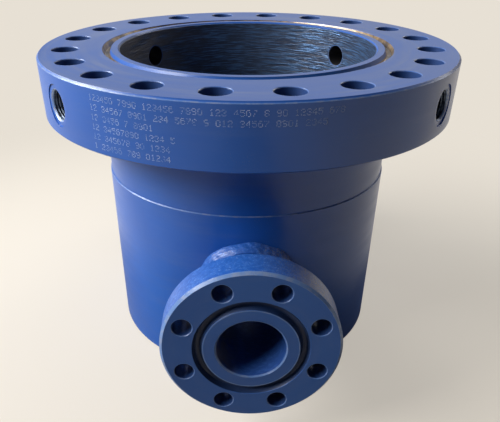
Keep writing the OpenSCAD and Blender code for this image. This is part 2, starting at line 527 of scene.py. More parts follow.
@dataclass
class Coating:
    """What one finish puts on a surface, before finishes are laid over each other.

    Attributes:
        colour: Base colour.
        rough: Roughness.
        metal: Metallic.
        coat: Weight of the clear top film.
        height: Relief in metres.
    """

    colour: Shade
    rough: Number
    metal: Number
    coat: Number
    height: Number

    @staticmethod
    def mix(mask: Shade, low: Number, high: Number) -> Number:
        """Mixes two values by a mask; equal numbers stay a plain number."""
        return low if not isinstance(low, Shade) and low == high else mask * (high - low) + low

    def under(self, *layers: tuple[Shade, "Coating"]) -> "Coating":
        """Lays other finishes over this one, one after another.

        Args:
            layers: For each finish a mask, 1 where it shows, and the finish.

        Returns:
            All of them together.
        """
        done = self
        for mask, top in layers:
            colour = mask.graph.blend(mask, done.colour, top.colour)
            done = Coating(colour, *(self.mix(mask, getattr(done, part), getattr(top, part))
                                     for part in ("rough", "metal", "coat", "height")))
        return done

    def material(self, graph: Graph) -> bpy.types.Material:
        """Closes a graph with this coating.

        Args:
            graph: The graph that made it.

        Returns:
            The finished material.
        """
        normal = graph.node("ShaderNodeBump", {}, {"Strength": 1.0, "Distance": 1.0, "Height": self.height})
        return graph.principled({"Base Color": self.colour, "Roughness": self.rough, "Metallic": self.metal,
                                 "Coat Weight": self.coat, "Coat Roughness": COAT_ROUGH, "IOR": ENAMEL_INDEX,
                                 "Normal": normal})


@dataclass(frozen=True)
class MachinedEnamel:
    """Blue gloss enamel over a turned surface: tool marks, orange peel, uneven film, specks and dust, and a
    grey wash in wiping bands that is partly a painted sheen.
    """

    deep: Colour = (0.010, 0.092, 0.420)
    bright: Colour = (0.014, 0.115, 0.490)
    # Grey blue of dust specks and of the wash in wiping bands; the wash is partly a painted sheen
    dust_and_sheen: Colour = (0.150, 0.190, 0.330)
    haze_and_sheen: float = 0.09
    speck_weight: float = 0.7
    rough: float = 0.285
    wipe_rough: float = 0.08
    film_rough: float = 0.10
    coat: float = 0.15
    peel_height: float = 0.000012
    tool_height: float = 0.000008
    film: Grain = Grain(6.0)
    wipe: Grain = Grain(75.0, 3.0, 0.6, 1.5)
    tool: Grain = Grain(420.0, 3.0, 0.6, 0.9)
    peel: Grain = Grain(430.0, 1.0)
    speck: Grain = Grain(850.0, 1.0)
    patch: Grain = Grain(24.0)
    film_pale: Window = (0.30, 0.70)
    film_dull: Window = (0.35, 0.70)
    wipe_pale: Window = (0.40, 0.72)
    wipe_dull: Window = (0.30, 0.75)
    speck_seen: Window = (0.67, 0.74)
    patch_seen: Window = (0.45, 0.75)

    def coating(self, graph: TurnedGraph) -> Coating:
        """Builds the layer, with a grey wash in the bands that wiping leaves round the axis; where the wash
        is strong, as on the top face, it is a painted sheen.

        Args:
            graph: The turned piece's graph.

        Returns:
            The enamel.
        """
        film, wipe = graph.grain(self.film), graph.grain(self.wipe)
        specks = graph.grain(self.speck).rise(*self.speck_seen)
        specks = specks * graph.grain(self.patch).rise(*self.patch_seen)
        colour = graph.blend(film.rise(*self.film_pale), self.deep, self.bright)
        colour = graph.blend(wipe.rise(*self.wipe_pale) * self.haze_and_sheen, colour, self.dust_and_sheen)
        colour = graph.blend(specks * self.speck_weight, colour, self.dust_and_sheen)
        rough = self.rough + wipe.rise(*self.wipe_dull) * self.wipe_rough
        rough = rough + film.rise(*self.film_dull) * self.film_rough
        height = graph.grain(self.peel) * self.peel_height + graph.grain(self.tool) * self.tool_height
        return Coating(colour, rough, 0.0, self.coat, height)


@dataclass(frozen=True)
class BowlEnamel:
    """Thin dark enamel over the boring tool's coarse marks, with wavy streaks, browner on the -X side."""

    deep: Colour = (0.026, 0.040, 0.078)
    bright: Colour = (0.116, 0.228, 0.440)
    side_brown: Colour = (0.170, 0.150, 0.145)
    side_brown_weight: float = 0.7
    rough: float = 0.29
    swell_rough: float = 0.12
    metal: float = 0.85
    streak_height: float = 0.00105
    swell_height: float = 0.00090
    streak: Grain = Grain(600.0, 3.0, 0.6, 6.0)
    swell: Grain = Grain(60.0, 2.0, 0.6, 3.0)
    streak_bare: Window = (0.44, 0.68)
    swell_brown: Window = (0.20, 0.55)
    brown_side: Window = (0.25, 0.85)

    def coating(self, graph: TurnedGraph) -> Coating:
        """Builds the layer.

        Args:
            graph: The turned piece's graph.

        Returns:
            The enamel.
        """
        streak, swell = graph.grain(self.streak), graph.grain(self.swell)
        crest = streak.rise(*self.streak_bare)
        # Browner on the -X side, in patches where the swell is high
        oil = (0.0 - graph.cosine).rise(*self.brown_side) * swell.rise(*self.swell_brown) * self.side_brown_weight
        colour = graph.blend(oil, graph.blend(crest, self.deep, self.bright), self.side_brown)
        rough = self.rough + swell * self.swell_rough
        height = streak * self.streak_height + swell * self.swell_height
        return Coating(colour, rough, crest * self.metal, 0.0, height)


@dataclass(frozen=True)
class RoughEnamel:
    """Thick bright enamel over a forged or welded skin: pits, lumps, pale overspray, warm specks on the +X
    side.
    """

    deep: Colour = (0.012, 0.090, 0.400)
    bright: Colour = (0.026, 0.130, 0.500)
    spray: Colour = (0.260, 0.420, 0.780)
    warm_speck: Colour = (0.300, 0.270, 0.220)
    spray_weight: float = 0.6
    spray_metal: float = 0.5
    warm_speck_weight: float = 0.8
    rough: float = 0.34
    pit_rough: float = 0.12
    coat: float = 0.1
    lump_height: float = 0.00022
    pit_height: float = 0.00011
    lump: Grain = Grain(210.0, 4.0, 0.6)
    pit: Grain = Grain(560.0, 2.0, 0.6)
    dust: Grain = Grain(780.0, 2.0, 0.6)
    lump_pale: Window = (0.35, 0.65)
    lump_sprayed: Window = (0.43, 0.60)
    pit_sprayed: Window = (0.54, 0.66)
    warm_speck_seen: Window = (0.50, 0.62)
    warm_side: Window = (-0.10, 0.75)

    def coating(self, graph: TurnedGraph) -> Coating:
        """Builds the layer.

        Args:
            graph: The turned piece's graph.

        Returns:
            The enamel.
        """
        lump, pit = graph.grain(self.lump), graph.grain(self.pit)
        fleck = pit.rise(*self.pit_sprayed) * lump.rise(*self.lump_sprayed)
        # Warm specks, kept to the +X side
        warm_speck = graph.grain(self.dust).rise(*self.warm_speck_seen) * graph.cosine.rise(*self.warm_side)
        colour = graph.blend(lump.rise(*self.lump_pale), self.deep, self.bright)
        colour = graph.blend(fleck * self.spray_weight, colour, self.spray)
        colour = graph.blend(warm_speck * self.warm_speck_weight, colour, self.warm_speck)
        height = lump * self.lump_height + pit * self.pit_height
        return Coating(colour, self.rough + pit * self.pit_rough, fleck * self.spray_metal, self.coat, height)


@dataclass(frozen=True)
class ScuffedEdgeHighlight:
    """A corner with a painted highlight: a pale blue film along it, with patches of rubbed bare steel."""

    # Pale blue film: a painted highlight along the corner
    film: Colour = (0.090, 0.190, 0.480)
    steel: Colour = (0.560, 0.540, 0.520)
    bare: float = 0.22
    rough: float = 0.32
    metal: float = 0.7
    coat: float = 0.1
    wear: Grain = Grain(90.0, 4.0, 0.65)
    worn: Window = (0.44, 0.62)

    def coating(self, graph: TurnedGraph) -> Coating:
        """Builds the layer.

        Args:
            graph: The turned piece's graph.

        Returns:
            The pale film, a painted highlight, with rubbed steel in patches.
        """
        rubbed = graph.grain(self.wear).rise(*self.worn) * self.bare
        colour = graph.blend(rubbed, self.film, self.steel)
        return Coating(colour, self.rough, rubbed * self.metal, self.coat, 0.0)


@dataclass(frozen=True)
class GreasedSteel:
    """Bare ring groove steel under preserving grease: tan and brown film, bright scraped metal beneath."""

    steel: Colour = (0.350, 0.335, 0.320)
    tan: Colour = (0.360, 0.250, 0.130)
    brown: Colour = (0.090, 0.062, 0.040)
    scrape_weight: float = 0.8
    rough: float = 0.29
    ring_rough: float = 0.12
    greased_metal: float = 0.35
    scraped_metal: float = 0.5
    coat: float = 0.35
    ring_height: float = 0.00002
    film: Grain = Grain(36.0, 4.0, 0.6)
    ring: Grain = Grain(900.0, 2.0, 0.6, 1.2)
    film_tan: Window = (0.36, 0.58)
    film_thin: Window = (0.56, 0.70)
    film_bare: Window = (0.50, 0.70)

    def coating(self, graph: TurnedGraph) -> Coating:
        """Builds the layer.

        Args:
            graph: The turned piece's graph.

        Returns:
            The greased steel.
        """
        film, ring = graph.grain(self.film), graph.grain(self.ring)
        colour = graph.blend(film.rise(*self.film_tan), self.brown, self.tan)
        colour = graph.blend(film.rise(*self.film_thin) * self.scrape_weight, colour, self.steel)
        metal = self.greased_metal + film.rise(*self.film_bare) * self.scraped_metal
        return Coating(colour, self.rough + ring * self.ring_rough, metal, self.coat, ring * self.ring_height)


@dataclass(frozen=True)
class ShadedHoleWall:
    """The wall of a drilled hole: thin overspray that gives way with depth to near-black steel, a painted
    shade deep in the hole.
    """

    spray: Colour = (0.018, 0.052, 0.180)
    # Near-black, darker than bare steel: painted shade deep in the hole
    steel: Colour = (0.060, 0.058, 0.062)
    fade_per_metre: float = 22.0
    ragged: float = 0.9
    rough: float = 0.32
    lump_rough: float = 0.2
    metal: float = 0.5
    lump_height: float = 0.00003
    lump: Grain = Grain(160.0)
    bared: Window = (0.65, 1.15)

    def coating(self, graph: TurnedGraph, depth: Shade) -> Coating:
        """Builds the layer.

        Args:
            graph: The turned piece's graph.
            depth: Distance below the face that the hole opens in, in metres.

        Returns:
            The hole's finish.
        """
        lump = graph.grain(self.lump)
        bare = (depth * self.fade_per_metre + lump * self.ragged).rise(*self.bared)
        colour = graph.blend(bare, self.spray, self.steel)
        rough = self.rough + lump * self.lump_rough
        return Coating(colour, rough, bare * self.metal, 0.0, lump * self.lump_height)


@dataclass(frozen=True)
class PatchyFilm:
    """A film that lies in patches over its ground, such as oil on thread steel or enamel on punched marks.

    Attributes:
        film: Colour where it is thick.
        ground: Colour where it is thin.
        thin: Steps of the noise between the two.
        rough: Least roughness.
        film_rough: What the noise adds to it.
        metal: Metallic.
        coat: Weight of the clear top film.
        film_height: Relief in metres.
        patch: The noise.
    """

    film: Colour
    ground: Colour
    thin: Window
    rough: float
    film_rough: float
    metal: float
    coat: float
    film_height: float
    patch: Grain

    def coating(self, graph: TurnedGraph) -> Coating:
        """Builds the layer.

        Args:
            graph: The piece's graph.

        Returns:
            The film on its ground.
        """
        patch = graph.grain(self.patch)
        rough = self.rough + patch * self.film_rough
        colour = graph.blend(patch.rise(*self.thin), self.film, self.ground)
        return Coating(colour, rough, self.metal, self.coat, patch * self.film_height)

    def material(self, name: str) -> bpy.types.Material:
        """The material of a piece that this finish covers."""
        graph = TurnedGraph(name, BORE_AXIS)
        return self.coating(graph).material(graph)


def grid_quads(rows: int, columns: int, close_u: bool, close_v: bool) -> Points:
    """Corner indices of a grid's cells.

    Each cell joins point (i, j) to its neighbours (i + 1, j), (i + 1, j + 1) and (i, j + 1), with the indices
    taken modulo the grid's size where it closes.

    Args:
        rows: Number of rows of points.
        columns: Number of columns.
        close_u: Whether the last row joins the first.
        close_v: Whether the last column joins the first.

    Returns:
        Indices of shape (cells, 4).
    """
    i, j = np.meshgrid(np.arange(rows - (not close_u)), np.arange(columns - (not close_v)), indexing="ij")
    i, j = i.ravel(), j.ravel()
    i2, j2 = (i + 1) % rows, (j + 1) % columns
    return np.stack([i * columns + j, i2 * columns + j, i2 * columns + j2, i * columns + j2], axis=1)


def add_object(name: str, data: bpy.types.ID) -> bpy.types.Object:
    """Makes an object and links it into the scene.

    Args:
        name: Its name.
        data: Its mesh, lamp or camera.

    Returns:
        The new object, at the origin.
    """
    made = bpy.data.objects.new(name, data)
    bpy.context.scene.collection.objects.link(made)
    return made


def stand(made: bpy.types.Object, place: Place, ahead: Vector) -> None:
    """Stands a lamp or the camera somewhere, facing along a direction."""
    made.location = place
    made.rotation_euler = ahead.to_track_quat("-Z", "Y").to_euler()


def mesh_object(name: str, points: Points, quads: Points) -> bpy.types.Object:
    """Puts points and quads into a new smooth mesh object at the origin.

    Args:
        name: The piece's name.
        points: Points in metres, of any shape that ends in 3.
        quads: Corner indices of shape (m, 4).

    Returns:
        The new object, in the scene.
    """
    mesh = bpy.data.meshes.new(name)
    mesh.vertices.add(points.size // 3)
    mesh.vertices.foreach_set("co", np.ascontiguousarray(points, dtype=np.float32).ravel())
    mesh.loops.add(quads.size)
    mesh.loops.foreach_set("vertex_index", np.ascontiguousarray(quads, dtype=np.int32).ravel())
    mesh.polygons.add(len(quads))
    mesh.polygons.foreach_set("loop_start", np.arange(0, quads.size, quads.shape[1], dtype=np.int32))
    mesh.polygons.foreach_set("use_smooth", np.ones(len(quads), dtype=bool))
    mesh.update(calc_edges=True)
    mesh.validate()
    return add_object(name, mesh)


def grid_object(name: str, grid: Points, close_u: bool, close_v: bool) -> bpy.types.Object:
    """A smooth mesh on a grid of points of shape (rows, columns, 3), closed along either side."""
    return mesh_object(name, grid, grid_quads(*grid.shape[:2], close_u, close_v))


@dataclass(frozen=True)
class Waves:
    """Smooth seeded relief that closes round a ring.

    Attributes:
        seed: Seed of the waves.
        count: Number of waves.
        reach: Largest number of waves round the ring.
        slant: Largest turn of a wave's phase across the ring, in radians.
        share: Share of the waves' usual sum that the relief keeps.
    """

    seed: int
    count: int
    reach: int
    slant: float = 9.0
    share: float = 0.7

    def relief(self, u: Points, v: Points) -> Points:
        """A sum of cosines of whole numbers of waves, each with its own slant and phase.

        Args:
            u: Angle round the ring in radians.
            v: Position across it, from 0 to 1.

        Returns:
            The relief, about -1 to 1.
        """
        rng = np.random.default_rng(self.seed)
        turns = rng.integers(2, self.reach, self.count)
        across = rng.uniform(0.0, self.slant, self.count)
        phase = rng.uniform(0.0, 2.0 * np.pi, self.count)
        waves = np.cos(u[..., None] * turns + v[..., None] * across + phase)
        return waves.sum(axis=-1) * self.share / math.sqrt(self.count)


def place_piece(piece: bpy.types.Object, slot: str, material: bpy.types.Material, *replaced: str) -> None:
    """Gives a new piece its material and its body.

    Args:
        piece: The piece.
        slot: The record's material slot; not used.
        material: Its material.
        replaced: CAD nodes that it stands for.
    """
    piece.data.materials.append(material)
    if replaced:
        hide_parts(*replaced)
    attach(piece, "root")
    LOG.info("piece %s: %d faces", piece.name, len(piece.data.polygons))


def dress_node(node: str, material: bpy.types.Material) -> None:
    """Gives a CAD node its material.

    Args:
        node: The node's name.
        material: Its material.
    """
    carried = frame["nodes"][node]
    carried.data.materials.clear()
    carried.data.materials.append(material)
    LOG.info("node %s: %s", node, material.name)


@dataclass
class GlandThread:
    """The cut thread in one lock screw port, wound inside the plain bore of the CAD solid."""

    azimuth: float
    pitch: float = 0.003
    crest: float = 0.0015
    clearance: float = 0.00002
    set_back: float = 0.0006
    turns: int = 13
    steps: int = 40
    corners: tuple[float, ...] = (-0.44, -0.10, 0.10, 0.44)

    def grid(self) -> Points:
        """Points of the thread's ridge.

        A four point profile, two roots on the bore and two crests inside it, at the corners' shares of the
        pitch, is carried along a helix round the port's axis. The ridge fades into the bore over its first
        and last turn.

        Returns:
            Points of shape (stations, 4, 3).
        """
        u = np.linspace(0.0, self.turns * 2.0 * np.pi, self.turns * self.steps)
        fade = np.clip(np.minimum(u, u[-1] - u) / (2.0 * np.pi), 0.0, 1.0)
        offset = np.array(self.corners) * self.pitch
        depth = np.array([0.0, 1.0, 1.0, 0.0])
        r = HEAD.port_thread_r - self.clearance - self.crest * depth[None, :] * fade[:, None]
        mouth = HEAD.rim_r - HEAD.port_face_deep - HEAD.port_chamfer - self.set_back
        along = mouth - self.pitch * (u[:, None] / (2.0 * np.pi) + 0.5) - offset[None, :]
        a = math.radians(self.azimuth)
        out = np.array([math.sin(a), -math.cos(a), 0.0])
        side = np.array([math.cos(a), math.sin(a), 0.0])
        up = np.array([0.0, 0.0, 1.0])
        centre = np.array([0.0, 0.0, HEAD.head_h - HEAD.port_drop])
        turn = u[:, None]
        return (centre + along[..., None] * out + (r * np.cos(turn))[..., None] * side
                + (r * np.sin(turn))[..., None] * up)

    def build(self, name: str, material: bpy.types.Material) -> None:
        """Makes the thread.

        Args:
            name: The piece's name.
            material: Its material.
        """
        place_piece(grid_object(name, self.grid(), False, True), "blue_paint", material)


# Dot patterns of the plain digits, five columns by seven rows, one text row per dot row
DIGITS = {
    "0": "01110 10001 10001 10001 10001 10001 01110",
    "1": "00100 01100 00100 00100 00100 00100 01110",
    "2": "01110 10001 00001 00110 01000 10000 11111",
    "3": "01110 10001 00001 00110 00001 10001 01110",
    "4": "00010 00110 01010 10010 11111 00010 00010",
    "5": "11111 10000 11110 00001 00001 10001 01110",
    "6": "01110 10000 11110 10001 10001 10001 01110",
    "7": "11111 00001 00010 00100 00100 01000 01000",
    "8": "01110 10001 10001 01110 10001 10001 01110",
    "9": "01110 10001 10001 01111 00001 00001 01110",
}


@dataclass
class PunchedNumbers:
    """Rows of dot punched counting numbers on the front of the rim, each dot a small raised crater."""

    start_azimuth: float = -38.4
    first_drop: float = 0.0085
    row_pitch: float = 0.0106
    dot_pitch: float = 0.00097
    column_pitch: float = 0.0060
    dot_r: float = 0.00045
    lip: float = 0.00011
    around: int = 8
    ring_shares: tuple[float, ...] = (1.0, 0.72, 0.42, 0.08)
    ring_rises: tuple[float, ...] = (-0.2, 1.0, 0.55, 0.1)
    kept: float = 0.86
    seed: int = 5
    groups: tuple[tuple[int, ...], ...] = (
        (6, 4, 6, 4, 3, 4, 1, 2, 5, 3), (2, 5, 4, 3, 4, 1, 3, 5, 4, 4),
        (2, 4, 1, 4), (2, 8, 4, 1), (2, 6, 2, 4), (1, 5, 3, 5))

    def dots(self) -> Points:
        """Places of all dots.

        Each row counts through the digits, with a blank after each group. A seeded few are left out, where
        the punch missed or the enamel filled them.

        Returns:
            Azimuth in radians and height in metres, of shape (n, 2).
        """
        places = []
        for row, lengths in enumerate(self.groups):
            group = np.repeat(np.arange(len(lengths)), lengths)
            for count, column in enumerate(np.arange(len(group)) + group):
                digit = DIGITS[str((count + 1) % len(DIGITS))].split()
                down, across = np.nonzero(np.array([[mark == "1" for mark in line] for line in digit]))
                arc = column * self.column_pitch + across * self.dot_pitch
                azimuth = math.radians(self.start_azimuth) + arc / HEAD.rim_r
                height = HEAD.head_h - self.first_drop - row * self.row_pitch - down * self.dot_pitch
                places.append(np.stack([azimuth, height], axis=1))
        every = np.concatenate(places)
        return every[np.random.default_rng(self.seed).random(len(every)) < self.kept]

    def build(self, material: bpy.types.Material) -> None:
        """Makes one mesh of all dots.

        Each crater is a revolved profile of rings, from its foot over its lip down to its centre, set on the
        rim: azimuth and height come from its place, and the rise above the rim from its profile.

        Args:
            material: The scuffed enamel.
        """
        radii = np.array(self.ring_shares) * self.dot_r
        rise = np.array(self.ring_rises) * self.lip
        turn = np.arange(self.around) * 2.0 * np.pi / self.around
        dots = self.dots()
        azimuth = dots[:, 0, None, None] + radii[None, :, None] * np.cos(turn) / HEAD.rim_r
        height = dots[:, 1, None, None] + radii[None, :, None] * np.sin(turn)
        radius = HEAD.rim_r + np.broadcast_to(rise[None, :, None], azimuth.shape)
        points = np.stack([radius * np.sin(azimuth), -radius * np.cos(azimuth), height], axis=-1)
        # The profile runs inwards, so its cells are turned over to face outwards
        quads = np.roll(grid_quads(len(radii), self.around, False, True)[:, ::-1], 1, axis=1)
        starts = np.arange(len(dots)) * len(radii) * self.around
        quads = (quads + starts[:, None, None]).reshape(-1, quads.shape[1])
        place_piece(mesh_object("rim_punched_numbers", points, quads), "blue_paint", material)


@dataclass
class SaddleWeld:
    """The weld bead round the foot of an outlet neck, which replaces the plain CAD ring."""

    side: Side
    around: int = 480
    across: int = 28
    passes: int = 3
    toe_inset: float = 0.0008
    toe_wander: float = 0.0009
    leg_inset: float = 0.0010
    leg_wander: float = 0.0010
    notch: float = 0.0003
    notch_power: int = 6
    notched: Window = (0.08, 0.92)
    ripple: float = 0.00007
    ripples: int = 150
    ripple_bend: float = 1.4
    ripple_fade: float = 0.5
    lump: float = 0.00045
    lump_fade: float = 0.6
    toe_waves: Waves = Waves(11, 7, 15)
    leg_waves: Waves = Waves(12, 7, 13)
    lump_waves: Waves = Waves(13, 26, 40)
    back_steps: tuple[float, ...] = (0.75, 0.4, 0.0)

    def grid(self) -> Points:
        """Points of the closed bead.

        Round the neck runs the angle u, and across the bead v from the toe on the barrel to the toe on the
        neck. The crown is the straight line between the toes plus a sine arch, less the notches between its
        passes, plus curved ripples and seeded lumps. The seat side follows the neck and the barrel at the
        clearance. Neither toe is straight: each wanders by a few seeded waves.

        Returns:
            Points of shape (around, 2 across, 3).
        """
        u = np.arange(self.around) * 2.0 * np.pi / self.around
        v = np.linspace(0.0, 1.0, self.across)
        uu, vv = np.meshgrid(u, v, indexing="ij")
        inner = HEAD.neck_r + HEAD.seat_gap
        toe = HEAD.neck_r + HEAD.weld_barrel_leg - self.toe_inset
        toe = toe + self.toe_wander * self.toe_waves.relief(u, np.zeros_like(u))
        leg = HEAD.weld_neck_leg - self.leg_inset
        leg = leg + self.leg_wander * self.leg_waves.relief(u, np.ones_like(u))
        low_r, low_y = toe, self.seat(toe, u)
        high_r, high_y = np.full_like(u, inner), self.seat(inner, u) + leg
        run = np.stack([high_r - low_r, high_y - low_y], axis=-1)
        normal = np.stack([run[:, 1], -run[:, 0]], axis=-1) / np.linalg.norm(run, axis=-1, keepdims=True)
        arch = np.sin(np.pi * vv)
        notch = np.abs(np.cos(np.pi * self.passes * vv)) ** self.notch_power
        notch = notch * (vv > self.notched[0]) * (vv < self.notched[1])
        curve = np.cos(2.0 * np.pi * self.passes * (vv - 0.5 / self.passes))
        ripple = np.sin(uu * self.ripples + self.ripple_bend * curve) * arch ** self.ripple_fade
        lump = self.lump_waves.relief(uu, vv) * arch ** self.lump_fade
        rise = HEAD.weld_crown * arch - self.notch * notch * arch + self.ripple * ripple + self.lump * lump
        r = low_r[:, None] + run[:, None, 0] * vv + normal[:, None, 0] * rise
        y = low_y[:, None] + run[:, None, 1] * vv + normal[:, None, 1] * rise
        middle = (low_r + inner) / 2.0
        steps = np.array(self.back_steps)
        back_r = np.concatenate([np.repeat(high_r[:, None], len(steps), 1), middle[:, None]], axis=1)
        back_y = np.concatenate([self.seat(inner, u)[:, None] + leg[:, None] * steps,
                                 self.seat(middle, u)[:, None]], axis=1)
        r = np.maximum(np.concatenate([r, back_r], axis=1), inner)
        y = np.concatenate([y, back_y], axis=1)
        turn = u[:, None]
        return np.stack([r * np.cos(turn) * -self.side.value, self.side.value * y,
                         HEAD.outlet_z + r * np.sin(turn)], axis=-1)

    @staticmethod
    def seat(radius: Union[float, Points], u: Points) -> Points:
        """Distance from the bore axis to just clear of the barrel's surface, at a radius round the neck."""
        return np.sqrt(HEAD.barrel_r ** 2 - (radius * np.cos(u)) ** 2) + HEAD.seat_gap

    def build(self, material: bpy.types.Material) -> None:
        """Makes the bead.

        Args:
            material: The rough enamel.
        """
        name = self.side.name.lower()
        bead = grid_object(f"{name}_weld_bead", self.grid(), True, True)
        place_piece(bead, "weld_paint", material, f"{name}_outlet_weld")


@dataclass
class BoltedTop:
    """The top flange and its hub: enamel, greased groove, dark bowl, threads and punched numbers."""

    enamel: MachinedEnamel = MachinedEnamel()
    # Top face enamel: darker blue than the rest, a painted shade, with a strong grey wash, a painted sheen
    face: MachinedEnamel = MachinedEnamel(deep=(0.016, 0.076, 0.310), bright=(0.020, 0.094, 0.365), haze_and_sheen=0.55)
    bowl: BowlEnamel = BowlEnamel()
    groove: GreasedSteel = GreasedSteel()
    holes: ShadedHoleWall = ShadedHoleWall()
    thread: PatchyFilm = PatchyFilm(
        film=(0.046, 0.060, 0.095), ground=(0.200, 0.265, 0.370), thin=(0.40, 0.62), rough=0.29,
        film_rough=0.16, metal=0.45, coat=0.2, film_height=0.00002, patch=Grain(140.0))
    edge: ScuffedEdgeHighlight = ScuffedEdgeHighlight()
    # Brighter pale film on the port lips: a painted highlight
    port_highlight: ScuffedEdgeHighlight = ScuffedEdgeHighlight(film=(0.200, 0.340, 0.620), bare=0.60)
    punched: PatchyFilm = PatchyFilm(
        film=(0.170, 0.270, 0.540), ground=(0.430, 0.530, 0.760), thin=(0.35, 0.65), rough=0.3,
        film_rough=0.15, metal=0.0, coat=0.1, film_height=0.00001, patch=Grain(90.0))
    hole_lip: float = 0.0011
    lip_weight: float = 0.7
    nose_lip: Window = (0.0002, 0.0016)
    nose_weight: float = 0.8
    scuffed: Window = (0.6, 1.2)
    groove_inner: float = 0.65
    barrel_film_r: float = 0.18

    def flange_material(self) -> bpy.types.Material:
        """The flange's finish: enamel outside with painted highlights along its edges and lips, grease in the
        groove, thin dark film in the bowl, and holes whose thin film darkens with depth in painted shade.
        """
        graph = TurnedGraph("top_flange_enamel", BORE_AXIS)
        depth = HEAD.head_h - graph.level
        in_groove = graph.groove_mask(HEAD.groove_r, depth, self.groove_inner)
        in_bowl = 1 - graph.radius.past(HEAD.bowl_r + FACE_SKIN)
        hole, hole_r = graph.hole_distance(HEAD.top_bolts), HEAD.top_bolts.hole_r
        port = graph.port_distance()
        past_thread = graph.radius.past(HEAD.rim_r - HEAD.port_thread_deep)
        in_thread = (1 - port.past(HEAD.port_thread_r)) * past_thread
        in_nose = (1 - port.past(HEAD.port_nose_r)) * (1 - past_thread)
        # Pale rings on the port lips, the nose hole lips and the bolt hole lips: painted highlights
        port_lip_highlight = port.band(HEAD.port_thread_r + SEAM[1], HEAD.port_thread_r + HEAD.port_chamfer)
        nose_highlight = port.band(HEAD.port_nose_r + self.nose_lip[0], HEAD.port_nose_r + self.nose_lip[1])
        lip_highlight = hole.band(hole_r, hole_r + self.hole_lip) * self.lip_weight
        # The rim's top chamfer, in a band of depth: a painted highlight, with rubbed steel in patches
        rubbed = depth.band(HEAD.flange_edge * self.scuffed[0], HEAD.flange_edge * self.scuffed[1])
        on_rim = graph.corner_mask(HEAD.rim_r, HEAD.head_h, HEAD.flange_edge) * rubbed
        edge, holes = self.edge.coating(graph), self.holes.coating(graph, depth)
        return self.enamel.coating(graph).under(
            # The top face takes the darker, greyer enamel: painted shade and painted sheen
            (1 - depth.past(FACE_SKIN), self.face.coating(graph)),
            (graph.largest(on_rim, lip_highlight), edge),
            (1 - hole.past(hole_r), holes),
            (in_groove, self.groove.coating(graph)),
            (in_bowl, self.bowl.coating(graph)),
            (nose_highlight * in_bowl * self.nose_weight, edge),
            (port_lip_highlight * past_thread, self.port_highlight.coating(graph)),
            (in_thread, self.thread.coating(graph)),
            # The nose holes take the hole finish, near-black with depth: painted shade
            (in_nose, holes)).material(graph)

    def body_material(self, name: str, bore_r: float) -> bpy.types.Material:
        """Finish of the hub and the barrel: enamel outside, a painted highlight along the ledge's corner, and
        the dark film within.

        Args:
            name: The material's name.
            bore_r: Radius inside which the dark film lies, in metres.

        Returns:
            The material.
        """
        graph = TurnedGraph(name, BORE_AXIS)
        ledge_z = HEAD.head_h - HEAD.flange_t - HEAD.hub_h
        # Pale film along the ledge's corner: a painted highlight
        ledge_highlight = graph.corner_mask(HEAD.barrel_r, ledge_z, HEAD.ledge_edge) * (1 - graph.level.past(ledge_z))
        return self.enamel.coating(graph).under(
            (ledge_highlight, self.edge.coating(graph)),
            (1 - graph.radius.past(bore_r), self.bowl.coating(graph))).material(graph)

    def build(self) -> None:
        """Dresses the nodes and adds the threads and the punched numbers."""
        dress_node("top_flange", self.flange_material())
        dress_node("hub", self.body_material("hub_enamel", HEAD.bowl_r + FACE_SKIN))
        dress_node("barrel", self.body_material("barrel_enamel", self.barrel_film_r))
        thread = self.thread.material("gland_thread_steel")
        for step in HEAD.port_steps:
            turn = step * HEAD.bolt_pitch
            GlandThread(turn).build(f"port_thread_{round(turn)}", thread)
        PunchedNumbers().build(self.punched.material("punched_enamel"))


